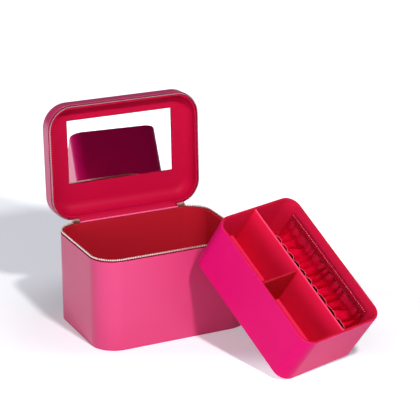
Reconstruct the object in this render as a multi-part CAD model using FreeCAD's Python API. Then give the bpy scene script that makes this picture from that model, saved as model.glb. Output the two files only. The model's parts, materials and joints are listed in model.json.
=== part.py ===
import FreeCAD, Part
import math
import os

os.makedirs("parts", exist_ok=True)

# Makeup case with a zip-around lid, a mirror in the lid and a lift-out tray.
# Millimetres, Z up. The origin is the middle of the base's underside and the front faces -Y.

V = FreeCAD.Vector
UP = V(0, 0, 1)
ORIGIN = V(0, 0, 0)

# Case
case_width = 240.0
case_depth = 174.0
corner_radius = 36.5
base_height = 133.0
zip_half_band = 4.4
lid_depth = 27.2
lid_open_deg = 92.2
base_edge_chamfer = 0.8
lid_edge_chamfer = 2.0

# Layers of the case's wall, from the outside in
cover_wall = 1.2
glue_line = 0.15
padding_wall = 1.3
board_wall = 2.2
lining_wall = 1.0
bottom_board_wall = 3.0
floor_pad_wall = 2.0
lid_board_wall = 1.5
lid_panel_wall = 1.5

# Mirror in the lid's panel
mirror_side_margin = 30.3
mirror_back_margin = 43.6
mirror_front_margin = 21.7
mirror_wall = 1.3
mirror_clearance = 0.3
mirror_bevel = 0.5

# Zip
tape_wall = 0.8
tape_seam = 8.0
tooth_pitch = 4.0
tooth_length = 2.0
tooth_foot = 2.2
tooth_head = 1.4
tooth_height = 2.4
tooth_seat_gap = 0.15
row_gap = 0.7
hinge_end_gap = 7.5
row_end_gap = 1.2
hinge_fold_gap = 0.1

# Zip sliders and their pulls
slider_lead_deg = 6.0
slider_tail_deg = 13.0
slider_plate_wall = 1.1
slider_half_height = 3.0
slider_side_clearance = 0.4
slider_post_height = 0.36
slider_post_deg = 6.0
lid_row_clear_deg = 4.0
lid_tape_lead_deg = 1.0
pin_radius = 0.5
pin_clearance = 0.3
pin_drop = 1.9
eye_wall = 0.6
eye_width = 3.0
lug_width = 1.2
lug_clearance = 0.3
lug_stand = 0.35
pull_wall = 1.0
pull_width = 8.0
pull_length = 17.0
pull_neck = 2.4
pull_slot_width = 3.0
pull_slot_length = 6.0

# Carry handle on the lid
handle_length = 124.0
handle_width = 24.0
handle_wall = 2.6
handle_pad = 20.0
handle_rise = 15.0
rivet_radius = 4.2
rivet_height = 1.6
rivet_chamfer_share = 0.6

# Tray
tray_end_gap = 3.35
tray_side_gap = 9.6
tray_height = 88.0
tray_corner_radius = 20.0
tray_cover_wall = 0.8
tray_board_wall = 1.5
tray_lining_wall = 0.7
tray_bottom_wall = 2.0
tray_floor_wall = 1.0
divider_core = 2.2
divider_skin = 0.7
divider_skin_gap = 0.1
divider_drop = 2.0
divider_skin_lip = 0.6
cross_wall = 3.0
cross_drop = 4.0
side_board_wall = 6.2
side_board_drop = 1.2
far_board_start = 29.5
near_board_gap = 29.5

# Gathered pocket on the tray's right wall
pocket_end_inset = 1.5
casing_drop = 14.0
casing_height = 13.0
casing_wall = 3.2
casing_fold_depth = 0.7
pocket_fold_count = 9
pocket_hem_height = 7.0
pocket_fold_depth = 2.6
pocket_levels_share = (0.0, 0.3, 0.72, 1.0)
pocket_stand = (2.6, 8.2, 10.6, 3.2)

# Elastic loops for brushes along the long divider, narrow ones first
loop_band_wall = 0.8
loop_band_height = 17.0
loop_band_drop = 0.6
loop_band_gap = 0.1
loop_bulge = 5.0
loop_tack = 2.4
loop_band_start = 50.6
narrow_loop_count = 7
narrow_loop_pitch = 14.7
wide_loop_count = 3
wide_loop_pitch = 20.9

# Where the tray leans on the base
lean_turn_deg = 15.35
lean_roll_deg = 2.13
lean_drop = 3.2
lean_gap = 0.35
lean_foot_inset = 22.5

# Overrun of a cutting shape
overrun = 1.0

# Derived places
padding_inset = cover_wall + glue_line
board_inset = padding_inset + padding_wall + glue_line
lining_inset = board_inset + board_wall + glue_line
inner_inset = lining_inset + lining_wall
tape_inset = padding_inset + padding_wall / 2
zip_plane = base_height + zip_half_band
floor_level = cover_wall + bottom_board_wall + floor_pad_wall
hinge_y = case_depth / 2
corner_x = case_width / 2 - corner_radius
corner_y = case_depth / 2 - corner_radius
hinge_half = corner_x - hinge_end_gap
lid_top = zip_plane + lid_depth
lid_rim = zip_plane + zip_half_band
lid_board_low = lid_top - cover_wall - lid_board_wall
lid_panel_low = lid_board_low - lid_panel_wall
tooth_low = zip_plane - row_gap / 2 - tooth_height
inner_width = case_width - 2 * inner_inset
inner_depth = case_depth - 2 * inner_inset
tray_length = inner_width - 2 * tray_end_gap
tray_width = inner_depth - 2 * tray_side_gap
tray_board_inset = tray_cover_wall + glue_line
tray_lining_inset = tray_board_inset + tray_board_wall + glue_line
tray_inner_inset = tray_lining_inset + tray_lining_wall
tray_bottom_level = tray_cover_wall + tray_bottom_wall
tray_floor_level = tray_bottom_level + tray_floor_wall
divider_wall = divider_core + 2 * (divider_skin + divider_skin_gap)


def save(shape, name):
    shape.exportStep("parts/" + name + ".step")


def rounded_prism(width, depth, radius, low, high):
    x = width / 2
    y = depth / 2
    a = x - radius
    b = y - radius
    d = radius * math.sqrt(2) / 2
    edges = [
        Part.LineSegment(V(-a, -y, low), V(a, -y, low)).toShape(),
        Part.Arc(V(a, -y, low), V(a + d, -b - d, low), V(x, -b, low)).toShape(),
        Part.LineSegment(V(x, -b, low), V(x, b, low)).toShape(),
        Part.Arc(V(x, b, low), V(a + d, b + d, low), V(a, y, low)).toShape(),
        Part.LineSegment(V(a, y, low), V(-a, y, low)).toShape(),
        Part.Arc(V(-a, y, low), V(-a - d, b + d, low), V(-x, b, low)).toShape(),
        Part.LineSegment(V(-x, b, low), V(-x, -b, low)).toShape(),
        Part.Arc(V(-x, -b, low), V(-a - d, -b - d, low), V(-a, -y, low)).toShape(),
    ]
    return Part.Face(Part.Wire(edges)).extrude(V(0, 0, high - low))


def case_prism(inset, low, high):
    return rounded_prism(case_width - 2 * inset, case_depth - 2 * inset, corner_radius - inset, low, high)


def case_ring(outer_inset, inner, low, high):
    return case_prism(outer_inset, low, high).cut(case_prism(inner, low - overrun, high + overrun))


def block(low, high):
    size = high - low
    return Part.makeBox(size.x, size.y, size.z, low)


def edges_at(shape, level):
    # Edges that lie flat at one height
    tolerance = glue_line / 10
    found = []
    for edge in shape.Edges:
        box = edge.BoundBox
        if abs(box.ZMin - level) < tolerance and abs(box.ZMax - level) < tolerance:
            found.append(edge)
    return found


# Base

def base_cover():
    return case_ring(0, cover_wall, cover_wall, base_height)


def base_bottom_cover():
    panel = case_prism(0, 0, cover_wall)
    return panel.makeChamfer(base_edge_chamfer, edges_at(panel, 0))


def base_padding():
    high = base_height - tape_seam - glue_line
    return case_ring(padding_inset, padding_inset + padding_wall, cover_wall, high)


def base_board():
    return case_ring(board_inset, board_inset + board_wall, cover_wall, base_height)


def base_bottom_board():
    inset = board_inset + board_wall + glue_line
    return case_prism(inset, cover_wall, cover_wall + bottom_board_wall)


def base_lining():
    low = cover_wall + bottom_board_wall
    high = base_height + lining_wall
    wall = case_ring(lining_inset, inner_inset, low, high)
    rim = case_ring(board_inset, inner_inset, base_height, high)
    return wall.fuse(rim).removeSplitter()


def base_floor():
    low = cover_wall + bottom_board_wall
    return case_prism(inner_inset + glue_line, low, floor_level)


# Zip: one band of tape and one row of teeth on each half

def tape_band(low, high, start_x):
    band = case_ring(tape_inset - tape_wall / 2, tape_inset + tape_wall / 2, low, high)
    gap = block(V(-start_x, 0, low - overrun), V(start_x, case_depth, high + overrun))
    return band.cut(gap)


def track(start_x):
    # Straight runs and corners of the zip, from one end at the back round to the other
    radius = corner_radius - tape_inset
    back = case_depth / 2 - tape_inset
    side = case_width / 2 - tape_inset
    runs = []
    runs.append(("line", V(-start_x, back, 0), V(-corner_x, back, 0)))
    runs.append(("arc", V(-corner_x, corner_y, 0), 90))
    runs.append(("line", V(-side, corner_y, 0), V(-side, -corner_y, 0)))
    runs.append(("arc", V(-corner_x, -corner_y, 0), 180))
    runs.append(("line", V(-corner_x, -back, 0), V(corner_x, -back, 0)))
    runs.append(("arc", V(corner_x, -corner_y, 0), 270))
    runs.append(("line", V(side, -corner_y, 0), V(side, corner_y, 0)))
    runs.append(("arc", V(corner_x, corner_y, 0), 0))
    runs.append(("line", V(corner_x, back, 0), V(start_x, back, 0)))
    return runs, radius


def run_length(run, radius):
    if run[0] == "line":
        return (run[2] - run[1]).Length
    return radius * math.pi / 2


def track_place(runs, radius, distance):
    # Point on the track and the direction of travel there, as an angle
    for run in runs:
        length = run_length(run, radius)
        if distance <= length:
            break
        distance -= length
    if run[0] == "line":
        way = (run[2] - run[1]).normalize()
        return run[1] + way * distance, math.degrees(math.atan2(way.y, way.x))
    turn = run[2] + math.degrees(distance / radius)
    angle = math.radians(turn)
    return run[1] + V(radius * math.cos(angle), radius * math.sin(angle), 0), turn + 90


def tooth():
    # A foot that grips the tape's edge and a narrower head, swept along the track
    half = tooth_length / 2
    points = [
        V(-half, -tooth_foot / 2, 0),
        V(-half, tooth_foot / 2, 0),
        V(-half, tooth_head / 2, tooth_height),
        V(-half, -tooth_head / 2, tooth_height),
    ]
    return Part.Face(Part.makePolygon(points + points[:1])).extrude(V(tooth_length, 0, 0))


def teeth_row(start, first, flip):
    # Teeth at one pitch, beginning first along the track and kept clear of both ends by start
    runs, radius = track(hinge_half)
    total = sum(run_length(run, radius) for run in runs)
    model = tooth()
    if flip:
        model.rotate(ORIGIN, V(1, 0, 0), 180)
    teeth = []
    distance = first
    while distance < total - start:
        if distance > start:
            point, turn = track_place(runs, radius, distance)
            copy = model.copy()
            copy.rotate(ORIGIN, UP, turn)
            copy.translate(point)
            teeth.append(copy)
        distance += tooth_pitch
    return teeth


def base_zip_tape():
    return tape_band(base_height - tape_seam, tooth_low - tooth_seat_gap, hinge_half + row_end_gap)


def base_zip_teeth():
    row = Part.makeCompound(teeth_row(row_end_gap + tooth_length, row_end_gap, False))
    row.translate(V(0, 0, tooth_low))
    return row


def lid_row_start():
    # The lid's row ends where the parked slider ends
    lead = corner_x - hinge_half
    bend = (corner_radius - tape_inset) * math.radians(slider_tail_deg + lid_row_clear_deg)
    return lead + bend


def lid_tape_start():
    angle = math.radians(slider_tail_deg + lid_row_clear_deg - lid_tape_lead_deg)
    return corner_x + (corner_radius - tape_inset) * math.sin(angle)


def lid_zip_tape():
    low = 2 * zip_plane - tooth_low + tooth_seat_gap
    return tape_band(low, lid_rim + tape_seam, lid_tape_start())


def lid_zip_teeth():
    first = row_end_gap + tooth_pitch / 2
    row = Part.makeCompound(teeth_row(lid_row_start() + tooth_length, first, True))
    row.translate(V(0, 0, 2 * zip_plane - tooth_low))
    return row


# Soft hinge: one strip of cover that folds on the lid's axis, as its two leaves

def hinge_leaf(low, high):
    return block(V(-hinge_half, hinge_y - cover_wall, low), V(hinge_half, hinge_y, high))


def hinge_base_leaf():
    return hinge_leaf(base_height, zip_plane - hinge_fold_gap)


def hinge_lid_leaf():
    return hinge_leaf(zip_plane + hinge_fold_gap, lid_rim)


# Lid, drawn shut

def lid_cover():
    outer = case_prism(0, lid_rim, lid_top)
    outer = outer.makeChamfer(lid_edge_chamfer, edges_at(outer, lid_top))
    return outer.cut(case_prism(cover_wall, lid_rim - overrun, lid_top - cover_wall))


def lid_padding():
    low = lid_rim + tape_seam + glue_line
    return case_ring(padding_inset, padding_inset + padding_wall, low, lid_top - lid_edge_chamfer)


def lid_board():
    return case_ring(board_inset, board_inset + board_wall, lid_rim, lid_board_low)


def lid_top_board():
    return case_prism(padding_inset + padding_wall, lid_board_low, lid_top - cover_wall)


def lid_lining():
    low = lid_rim - lining_wall
    wall = case_ring(lining_inset, inner_inset, low, lid_board_low)
    rim = case_ring(board_inset, inner_inset, low, lid_rim)
    return wall.fuse(rim).removeSplitter()


def mirror_window(clearance, low, high):
    side = inner_width / 2 - mirror_side_margin + clearance
    back = inner_depth / 2 - mirror_back_margin + clearance
    front = inner_depth / 2 - mirror_front_margin + clearance
    return block(V(-side, -front, low), V(side, back, high))


def lid_panel():
    panel = case_prism(inner_inset + glue_line, lid_panel_low, lid_board_low)
    return panel.cut(mirror_window(mirror_clearance, lid_panel_low - overrun, lid_board_low + overrun))


def mirror():
    glass = mirror_window(0, lid_board_low - mirror_wall, lid_board_low)
    return glass.makeChamfer(mirror_bevel, edges_at(glass, lid_board_low - mirror_wall))


def handle_strap():
    half = handle_length / 2
    knee = half - handle_pad
    y = -handle_width / 2
    low = lid_top
    high = lid_top + handle_wall
    crown = lid_top + handle_rise
    inner_knee = knee - handle_wall
    edges = [
        Part.LineSegment(V(-half, y, low), V(-half, y, high)).toShape(),
        Part.LineSegment(V(-half, y, high), V(-knee, y, high)).toShape(),
        Part.Arc(V(-knee, y, high), V(0, y, crown + handle_wall), V(knee, y, high)).toShape(),
        Part.LineSegment(V(knee, y, high), V(half, y, high)).toShape(),
        Part.LineSegment(V(half, y, high), V(half, y, low)).toShape(),
        Part.LineSegment(V(half, y, low), V(inner_knee, y, low)).toShape(),
        Part.Arc(V(inner_knee, y, low), V(0, y, crown), V(-inner_knee, y, low)).toShape(),
        Part.LineSegment(V(-inner_knee, y, low), V(-half, y, low)).toShape(),
    ]
    return Part.Face(Part.Wire(edges)).extrude(V(0, handle_width, 0))


def handle_rivets():
    heads = []
    for side in (-1, 1):
        x = side * (handle_length - handle_pad) / 2
        head = Part.makeCylinder(rivet_radius, rivet_height, V(x, 0, lid_top + handle_wall))
        rim = edges_at(head, lid_top + handle_wall + rivet_height)
        heads.append(head.makeChamfer(rivet_height * rivet_chamfer_share, rim))
    return Part.makeCompound(heads)


def opened(shape):
    turned = shape.copy()
    turned.rotate(V(0, hinge_y, zip_plane), V(1, 0, 0), -lid_open_deg)
    return turned


# Sliders at the back corners and their pulls, drawn for the left corner

def corner_sector(inner, outer, low, high, start_deg, end_deg):
    centre = V(-corner_x, corner_y, low)
    sector = Part.makeCylinder(outer, high - low, centre, UP, end_deg - start_deg)
    sector = sector.cut(Part.makeCylinder(inner, high - low, centre, UP))
    sector.rotate(centre, UP, 90 + start_deg)
    return sector


def pull_radius():
    return slider_outer() + lug_stand + eye_wall + pin_clearance + pin_radius


def slider_outer():
    half = tooth_foot / 2 + slider_side_clearance
    return corner_radius - tape_inset + half + slider_plate_wall


def at_slider(shape):
    # Turns a shape drawn at the corner's start, facing back, to the slider's middle
    middle = (slider_tail_deg - slider_lead_deg) / 2
    shape.translate(V(-corner_x, corner_y, zip_plane))
    shape.rotate(V(-corner_x, corner_y, 0), UP, middle)
    return shape


def zip_slider():
    half = tooth_foot / 2 + slider_side_clearance
    centre = corner_radius - tape_inset
    low = zip_plane - slider_half_height
    high = zip_plane + slider_half_height
    near = centre - half
    far = centre + half
    outer = corner_sector(far, slider_outer(), low, high, -slider_lead_deg, slider_tail_deg)
    inner = corner_sector(near - slider_plate_wall, near, low, high, -slider_lead_deg, slider_tail_deg)
    middle = (slider_tail_deg - slider_lead_deg) / 2
    post = corner_sector(
        near - slider_plate_wall / 2,
        far + slider_plate_wall / 2,
        zip_plane - slider_post_height / 2,
        zip_plane + slider_post_height / 2,
        middle - slider_post_deg / 2,
        middle + slider_post_deg / 2,
    )
    body = outer.fuse([inner, post])
    for side in (-1, 1):
        body = body.fuse(at_slider(slider_lug(side)))
    return body.fuse(at_slider(slider_pin())).removeSplitter()


def slider_lug(side):
    near = eye_width / 2 + lug_clearance
    far = near + lug_width
    root = slider_outer() - slider_plate_wall / 2
    tip = pull_radius() + pin_radius
    low = V(min(side * near, side * far), root, -pin_drop - 2 * pin_radius)
    high = V(max(side * near, side * far), tip, -pin_drop + 2 * pin_radius)
    return block(low, high)


def slider_pin():
    reach = eye_width / 2 + lug_clearance + lug_width / 2
    return Part.makeCylinder(pin_radius, 2 * reach, V(-reach, pull_radius(), -pin_drop), V(1, 0, 0))


def zip_pull():
    bore = pin_radius + pin_clearance
    eye_radius = bore + eye_wall
    centre = V(-eye_width / 2, pull_radius(), -pin_drop)
    eye = Part.makeCylinder(eye_radius, eye_width, centre, V(1, 0, 0))
    y = pull_radius() - pull_wall / 2
    top = -pin_drop - eye_radius - pull_neck
    bottom = top - pull_length
    neck = block(V(-eye_width / 2, y, top), V(eye_width / 2, y + pull_wall, -pin_drop))
    plate = block(V(-pull_width / 2, y, bottom), V(pull_width / 2, y + pull_wall, top))
    corners = [e for e in plate.Edges if abs(e.BoundBox.ZMax - e.BoundBox.ZMin) < pin_clearance]
    corners = [e for e in corners if e.BoundBox.YMax - e.BoundBox.YMin > pull_wall / 2]
    plate = plate.makeChamfer(pull_width / 4, corners)
    tab = eye.fuse([neck, plate])
    tab = tab.cut(Part.makeCylinder(bore, eye_width, centre, V(1, 0, 0)))
    slot_low = bottom + pull_slot_width
    slot = block(
        V(-pull_slot_width / 2, y - overrun, slot_low),
        V(pull_slot_width / 2, y + pull_wall + overrun, slot_low + pull_slot_length),
    )
    return at_slider(tab.cut(slot).removeSplitter())


def mirrored(shape):
    return shape.mirror(ORIGIN, V(1, 0, 0))


# Tray, drawn upright in its own frame: X from the far end, Y from the left wall, Z from the bottom

def tray_prism(inset, low, high):
    length = tray_length - 2 * inset
    width = tray_width - 2 * inset
    prism = rounded_prism(length, width, tray_corner_radius - inset, low, high)
    prism.translate(V(tray_length / 2, tray_width / 2, 0))
    return prism


def tray_ring(outer_inset, inner, low, high):
    return tray_prism(outer_inset, low, high).cut(tray_prism(inner, low - overrun, high + overrun))


def tray_cover():
    # Outer skin, folded over the rim to the lining
    skin = tray_ring(0, tray_cover_wall, tray_cover_wall, tray_height)
    fold = tray_ring(0, tray_inner_inset, tray_height - tray_cover_wall, tray_height)
    return skin.fuse(fold).removeSplitter()


def tray_bottom_cover():
    return tray_prism(0, 0, tray_cover_wall)


def tray_wall_board():
    inner = tray_board_inset + tray_board_wall
    return tray_ring(tray_board_inset, inner, tray_cover_wall, tray_height - tray_cover_wall)


def tray_corners():
    reach = V(tray_corner_radius, tray_corner_radius, tray_height)
    corners = []
    for x in (0, tray_length - tray_corner_radius):
        for y in (0, tray_width - tray_corner_radius):
            corners.append(block(V(x, y, 0), V(x, y, 0) + reach))
    return corners


def tray_board():
    # Straight boards of the four walls
    return Part.makeCompound(tray_wall_board().cut(tray_corners()).Solids)


def tray_corner_boards():
    return Part.makeCompound(tray_wall_board().common(tray_corners()).Solids)


def tray_bottom():
    return tray_prism(tray_lining_inset, tray_cover_wall, tray_bottom_level)


def tray_lining():
    return tray_ring(tray_lining_inset, tray_inner_inset, tray_bottom_level, tray_height - tray_cover_wall)


def tray_floor():
    return tray_prism(tray_inner_inset + glue_line, tray_bottom_level, tray_floor_level)


def divider_long():
    y = tray_width / 2 - divider_core / 2
    high = tray_height - divider_drop - divider_skin_lip
    return block(
        V(tray_inner_inset, y, tray_floor_level),
        V(tray_length - tray_inner_inset, y + divider_core, high),
    )


def divider_skins():
    # The lining on both faces of the long divider stands a little above its core
    skins = []
    near = divider_core / 2 + divider_skin_gap
    for shift in (-near - divider_skin, near):
        y = tray_width / 2 + shift
        low = V(tray_inner_inset, y, tray_floor_level)
        high = V(tray_length - tray_inner_inset, y + divider_skin, tray_height - divider_drop)
        skins.append(block(low, high))
    return Part.makeCompound(skins)


def divider_cross():
    x = tray_length / 2 - cross_wall / 2
    high = tray_height - cross_drop
    board = block(
        V(x, tray_inner_inset, tray_floor_level),
        V(x + cross_wall, tray_width / 2 - divider_wall / 2, high),
    )
    rims = [e for e in edges_at(board, high) if e.BoundBox.YLength > cross_wall]
    return board.makeFillet(cross_wall / 3, rims)


def side_board(start, end):
    # A padded board against the left wall, its end shaped by the tray's corner
    low = V(start, tray_inner_inset, tray_floor_level)
    high = V(end, tray_inner_inset + side_board_wall, tray_height - side_board_drop)
    return block(low, high).common(tray_prism(tray_inner_inset, 0, tray_height))


def side_board_far():
    return side_board(far_board_start, tray_length / 2 - cross_wall / 2)


def side_board_near():
    start = tray_length / 2 + cross_wall / 2 + near_board_gap
    return side_board(start, tray_length - tray_inner_inset - glue_line)


# Gathered pocket: a straight casing and a cloth that hangs in folds below it

def fold_section(level, stand, depth):
    # Closed outline at one height: flat on the wall, with one arc for each fold
    wall = tray_width - tray_inner_inset
    start = tray_corner_radius + pocket_end_inset
    end = tray_length - tray_corner_radius - pocket_end_inset
    pitch = (end - start) / pocket_fold_count
    edges = [
        Part.LineSegment(V(end, wall, level), V(start, wall, level)).toShape(),
        Part.LineSegment(V(start, wall, level), V(start, wall - stand, level)).toShape(),
    ]
    for fold in range(pocket_fold_count):
        x = start + fold * pitch
        left = V(x, wall - stand, level)
        crown = V(x + pitch / 2, wall - stand - depth, level)
        right = V(x + pitch, wall - stand, level)
        edges.append(Part.Arc(left, crown, right).toShape())
    edges.append(Part.LineSegment(V(end, wall - stand, level), V(end, wall, level)).toShape())
    return Part.Wire(edges)


def pocket_casing():
    high = tray_height - casing_drop
    section = fold_section(high - casing_height, casing_wall, casing_fold_depth)
    return Part.Face(section).extrude(V(0, 0, casing_height))


def pocket_gathers():
    top = tray_height - casing_drop - casing_height
    sections = []
    for share, stand in zip(pocket_levels_share, pocket_stand):
        level = top - share * (top - pocket_hem_height)
        sections.append(fold_section(level, stand, pocket_fold_depth))
    return Part.makeLoft(sections, True, True)


# Elastic band that is tacked to the long divider and bulges into a loop between two tacks

def loop_line(y, bulge):
    # Edges of the band's one face, from the far end to the near end
    edges = []
    x = loop_band_start
    tack = loop_tack / 2
    for pitch in [narrow_loop_pitch] * narrow_loop_count + [wide_loop_pitch] * wide_loop_count:
        start = V(x + tack, y, 0)
        end = V(x + pitch - tack, y, 0)
        crown = V(x + pitch / 2, y + bulge, 0)
        edges.append(Part.LineSegment(V(x, y, 0), start).toShape())
        edges.append(Part.Arc(start, crown, end).toShape())
        edges.append(Part.LineSegment(end, V(x + pitch, y, 0)).toShape())
        x += pitch
    return edges, V(x, y, 0)


def brush_loops():
    y = tray_width / 2 + divider_wall / 2 + loop_band_gap
    inner, inner_end = loop_line(y, loop_bulge)
    outer, outer_end = loop_line(y + loop_band_wall, loop_bulge)
    start = V(loop_band_start, y, 0)
    across = V(0, loop_band_wall, 0)
    ends = [
        Part.LineSegment(start, start + across).toShape(),
        Part.LineSegment(inner_end, outer_end).toShape(),
    ]
    outline = Part.Wire(Part.__sortEdges__(inner + outer + ends))
    band = Part.Face(outline).extrude(V(0, 0, loop_band_height))
    band.translate(V(0, 0, tray_height - divider_drop - loop_band_drop - loop_band_height))
    return band


def lean_placement():
    # The tray's near end stands on the floor and its far bottom edge touches the base's front corner
    turn = math.radians(lean_turn_deg)
    roll = math.radians(lean_roll_deg)
    tilt = math.asin((base_height - lean_drop) / tray_length)
    across = V(math.cos(turn), math.sin(turn), 0)
    ahead = V(math.sin(turn), -math.cos(turn), 0)
    along = ahead * math.cos(tilt) - UP * math.sin(tilt)
    rise = along.cross(across)
    side = across * math.cos(roll) + rise * math.sin(roll)
    normal = rise * math.cos(roll) - across * math.sin(roll)
    flat = V(side.x, side.y, 0).normalize()
    out = V(flat.y, -flat.x, 0)
    corner = V(corner_x, -corner_y, 0)
    foot_x = corner_x - lean_foot_inset
    reach = corner_radius + lean_gap + corner.dot(out) + tray_length * along.dot(out)
    foot_y = (reach - foot_x * out.x) / out.y
    slope_along = -along.z
    slope_side = side.z
    sink = tray_corner_radius * (slope_along + slope_side - math.hypot(slope_along, slope_side))
    place = V(foot_x, foot_y, -sink) - along * tray_length
    matrix = FreeCAD.Matrix(
        along.x, side.x, normal.x, place.x,
        along.y, side.y, normal.y, place.y,
        along.z, side.z, normal.z, place.z,
        0, 0, 0, 1,
    )
    return FreeCAD.Placement(matrix)


def leaned(shape):
    moved = shape.copy()
    moved.Placement = lean_placement().multiply(moved.Placement)
    return moved


for piece in (base_cover, base_bottom_cover, base_padding, base_board, base_bottom_board):
    save(piece(), piece.__name__)

for piece in (base_lining, base_floor, base_zip_tape, base_zip_teeth, hinge_base_leaf):
    save(piece(), piece.__name__)

for piece in (lid_cover, lid_padding, lid_board, lid_top_board, lid_lining, lid_panel, mirror):
    save(opened(piece()), piece.__name__)

for piece in (lid_zip_tape, lid_zip_teeth, hinge_lid_leaf, handle_strap, handle_rivets):
    save(opened(piece()), piece.__name__)

for piece in (zip_slider, zip_pull):
    save(piece(), piece.__name__ + "_left")
    save(mirrored(piece()), piece.__name__ + "_right")

for piece in (tray_cover, tray_bottom_cover, tray_board, tray_corner_boards):
    save(leaned(piece()), piece.__name__)

for piece in (tray_bottom, tray_lining, tray_floor):
    save(leaned(piece()), piece.__name__)

for piece in (divider_long, divider_skins, divider_cross, side_board_far, side_board_near):
    save(leaned(piece()), "tray_" + piece.__name__)

for piece in (pocket_casing, pocket_gathers, brush_loops):
    save(leaned(piece()), "tray_" + piece.__name__)
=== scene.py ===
import json
import math

import bmesh
import bpy
from mathutils import Matrix, Vector, noise


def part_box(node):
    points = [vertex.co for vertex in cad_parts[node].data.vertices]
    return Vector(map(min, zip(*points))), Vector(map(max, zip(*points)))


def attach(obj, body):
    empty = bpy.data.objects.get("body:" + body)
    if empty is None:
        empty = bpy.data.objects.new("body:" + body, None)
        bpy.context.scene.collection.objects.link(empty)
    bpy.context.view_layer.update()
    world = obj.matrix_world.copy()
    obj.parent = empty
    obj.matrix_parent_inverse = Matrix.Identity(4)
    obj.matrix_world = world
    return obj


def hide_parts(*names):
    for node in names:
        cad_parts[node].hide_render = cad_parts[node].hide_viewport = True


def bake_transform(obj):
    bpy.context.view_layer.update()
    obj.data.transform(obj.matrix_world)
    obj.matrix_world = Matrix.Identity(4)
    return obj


# Looks of a zip-around makeup case: pink leatherette, red lining, a mirror and a lift-out tray.
# Metres, Z up. The origin is the middle of the base's underside and the front faces -Y.

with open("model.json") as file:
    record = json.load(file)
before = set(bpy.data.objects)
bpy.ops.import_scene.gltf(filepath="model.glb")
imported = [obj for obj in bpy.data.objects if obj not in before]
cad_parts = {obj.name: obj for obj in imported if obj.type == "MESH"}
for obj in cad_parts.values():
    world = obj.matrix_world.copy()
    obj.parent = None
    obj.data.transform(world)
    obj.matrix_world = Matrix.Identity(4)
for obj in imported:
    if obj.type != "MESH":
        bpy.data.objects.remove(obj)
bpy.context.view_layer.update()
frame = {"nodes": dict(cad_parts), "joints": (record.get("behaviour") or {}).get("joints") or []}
nodes = frame["nodes"]
joints = {joint["name"]: joint for joint in frame["joints"]}

# Case, read from the frame
base_low, base_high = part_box("base_cover")
case_width = base_high.x - base_low.x
case_depth = base_high.y - base_low.y
base_height = base_high.z
hinge = Vector(joints["lid_hinge"]["pos_m"])
open_angle = math.radians(joints["lid_hinge"]["range_deg"][1])
zip_half_band = hinge.z - base_height
lid_rim = hinge.z + zip_half_band
opened = Matrix.Translation(hinge) @ Matrix.Rotation(-open_angle, 4, "X") @ Matrix.Translation(-hinge)

# Case, walls and edges
corner_radius = 0.0365
cover_wall = 0.0012
board_inset = 0.00295
lining_inset = 0.00515
inner_inset = 0.00615
bottom_level = 0.0042
floor_level = 0.0062
floor_pad_gap = 0.00015
lid_depth = 0.0272
lid_top = hinge.z + lid_depth
lid_board_depth = 0.0027
lid_panel_wall = 0.0015
lid_board_low = lid_top - lid_board_depth
lid_panel_low = lid_board_low - lid_panel_wall
lid_cove = 0.0165
mirror_side = 0.08385
mirror_back = 0.03755
mirror_front = 0.05945
lining_turn = 0.001
cap_inset = 0.012
edge_round = 0.0006
pad_round = 0.0008
lid_edge_round = 0.003
fold_round = 0.0005
lining_round = 0.00045

# Zip
tape_inset = 0.002
tooth_pitch = 0.0026
tooth_length = 0.0017
tooth_foot = 0.0022
tooth_head = 0.0014
tooth_height = 0.0024
tooth_round = 0.0003
row_gap = 0.0007
base_row_start = 0.0029
lid_row_start = 0.0197

# Hinge
hinge_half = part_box("hinge_base_leaf")[1].x
strip_end = 0.0036
strip_half = hinge_half + strip_end
strip_steps = 8
hinge_bend = 0.003
piping_radius = 0.0013
piping_rise = 0.0021
band_wall = 0.0004
hinge_band_sag = 0.0006

# Handle on the lid
handle_length = 0.124
handle_width = 0.024
handle_wall = 0.0026
handle_pad = 0.020
handle_rise = 0.015
handle_round = 0.0009
handle_stitch_inset = 0.0022
handle_curve = 1.4
handle_steps = 62

# Tray
tray_length = 0.221
tray_width = 0.1425
tray_height = 0.088
tray_corner_radius = 0.020
tray_cover_wall = 0.0008
tray_lining_inset = 0.0026
tray_inner_inset = 0.0033
tray_bottom_level = 0.0028
tray_floor_level = 0.0038
tray_edge_round = 0.0024
tray_rim_round = 0.0007
tray_fold_inset = 0.0009
divider_half = 0.0019
divider_drop = 0.002
divider_taper = 0.005
divider_top_half = 0.001
divider_round = 0.0008
cross_wall = 0.003
cross_drop = 0.004
cross_round = 0.00135

# Elastic brush loops on the divider
loop_wall = 0.0008
loop_height = 0.017
loop_top_drop = 0.0026
loop_gap = 0.0001
loop_bulge = 0.005
loop_tack = 0.0024
loop_top_draw = 0.36
loop_square = 3
loop_crown = 0.8
loop_slack = 0.0005
loop_start = 0.0506
loop_pitches = (0.0147,) * 7 + (0.0209,) * 3

# Gathered pocket on the tray's right wall
pocket_end_inset = 0.0215
casing_drop = 0.014
casing_height = 0.013
casing_stand = 0.0032
hem_height = 0.007
pocket_folds = 14
pocket_ruffles = 29
pocket_belly = 0.0112
pocket_wall = 0.0004
pocket_near = 0.0008
valley_near = 0.0006
ruffle_depth = 0.0008
crease_depth = 0.0008
grip_depth = 0.0016
grip_reach = 0.03
top_wave = 0.0006
top_seam = 0.03
stitch_pitch = 0.0034
stitch_length = 0.0029
stitch_radius = 0.00035

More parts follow.
